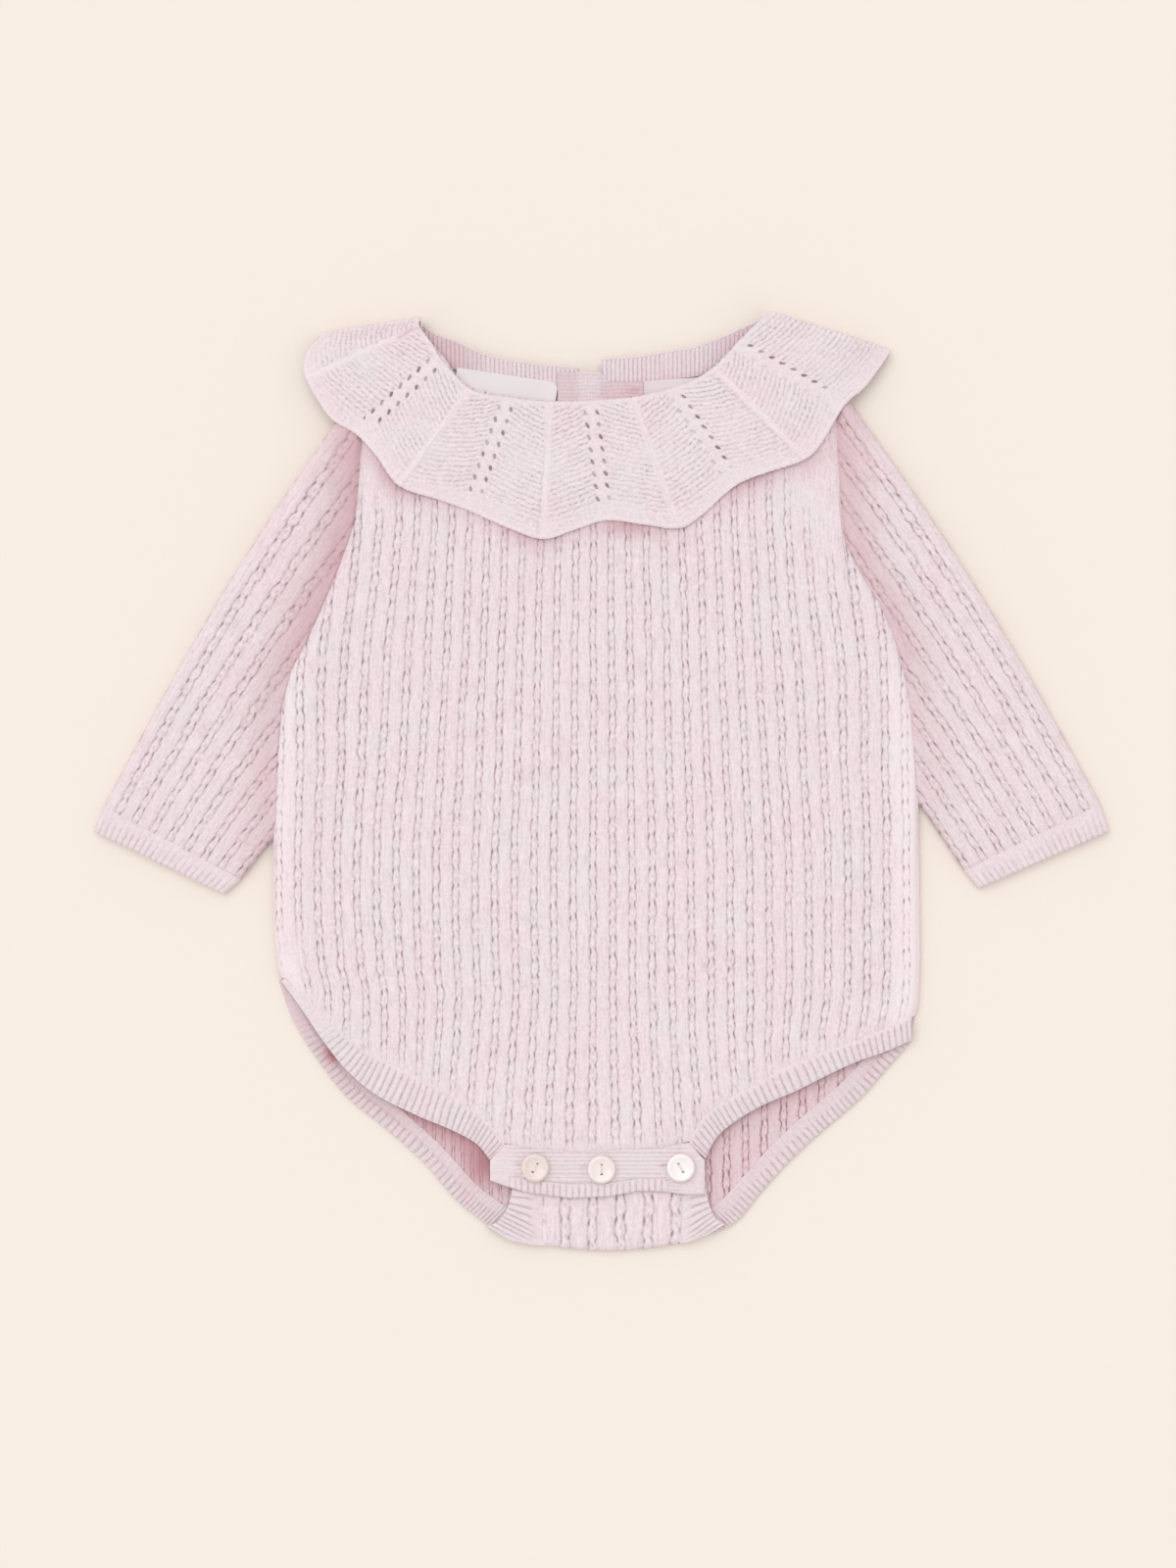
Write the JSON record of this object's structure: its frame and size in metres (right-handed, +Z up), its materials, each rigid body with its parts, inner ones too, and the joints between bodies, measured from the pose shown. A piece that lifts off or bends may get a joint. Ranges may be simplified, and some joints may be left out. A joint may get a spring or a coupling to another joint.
{
  "type": "baby romper",
  "caption": "Long-sleeved knitted baby romper laid flat, with an openwork ruffle collar, ribbed cuffs and leg bands, and a buttoned crotch.",
  "frame": {"origin": "on the flat underside of the back panel, below the body's centre line, half way down the garment", "axes": "+Z up from the surface that the romper lies on, +Y to the neck, +X to the right of a viewer above it"},
  "size_m": [0.3686, 0.3408, 0.0108],
  "materials": {
    "yarn": "knitted, matt, slightly fuzzy",
    "ruffle_yarn": "knitted openwork, matt, slightly fuzzy",
    "shell": "pearly, like shell",
    "satin": "woven satin ribbon"
  },
  "bodies": {
    "root": {"front_panel": "yarn", "back_panel": "yarn", "sleeve_left": "yarn", "cuff_left": "yarn", "sleeve_right": "yarn", "cuff_right": "yarn", "front_leg_band_left": "yarn", "front_leg_band_right": "yarn", "back_leg_band_left": "yarn", "back_leg_band_right": "yarn", "flap_band_left": "yarn", "flap_band_right": "yarn", "crotch_flap": "yarn", "placket": "yarn", "neckband_left": "yarn", "neckband_right": "yarn", "ruffle_front": "ruffle_yarn", "ruffle_back_left": "ruffle_yarn", "ruffle_back_right": "ruffle_yarn", "back_placket": "yarn", "label_left": "satin", "label_right": "satin", "button_1": "shell", "button_2": "shell", "button_3": "shell"}
  },
  "joints": []
}
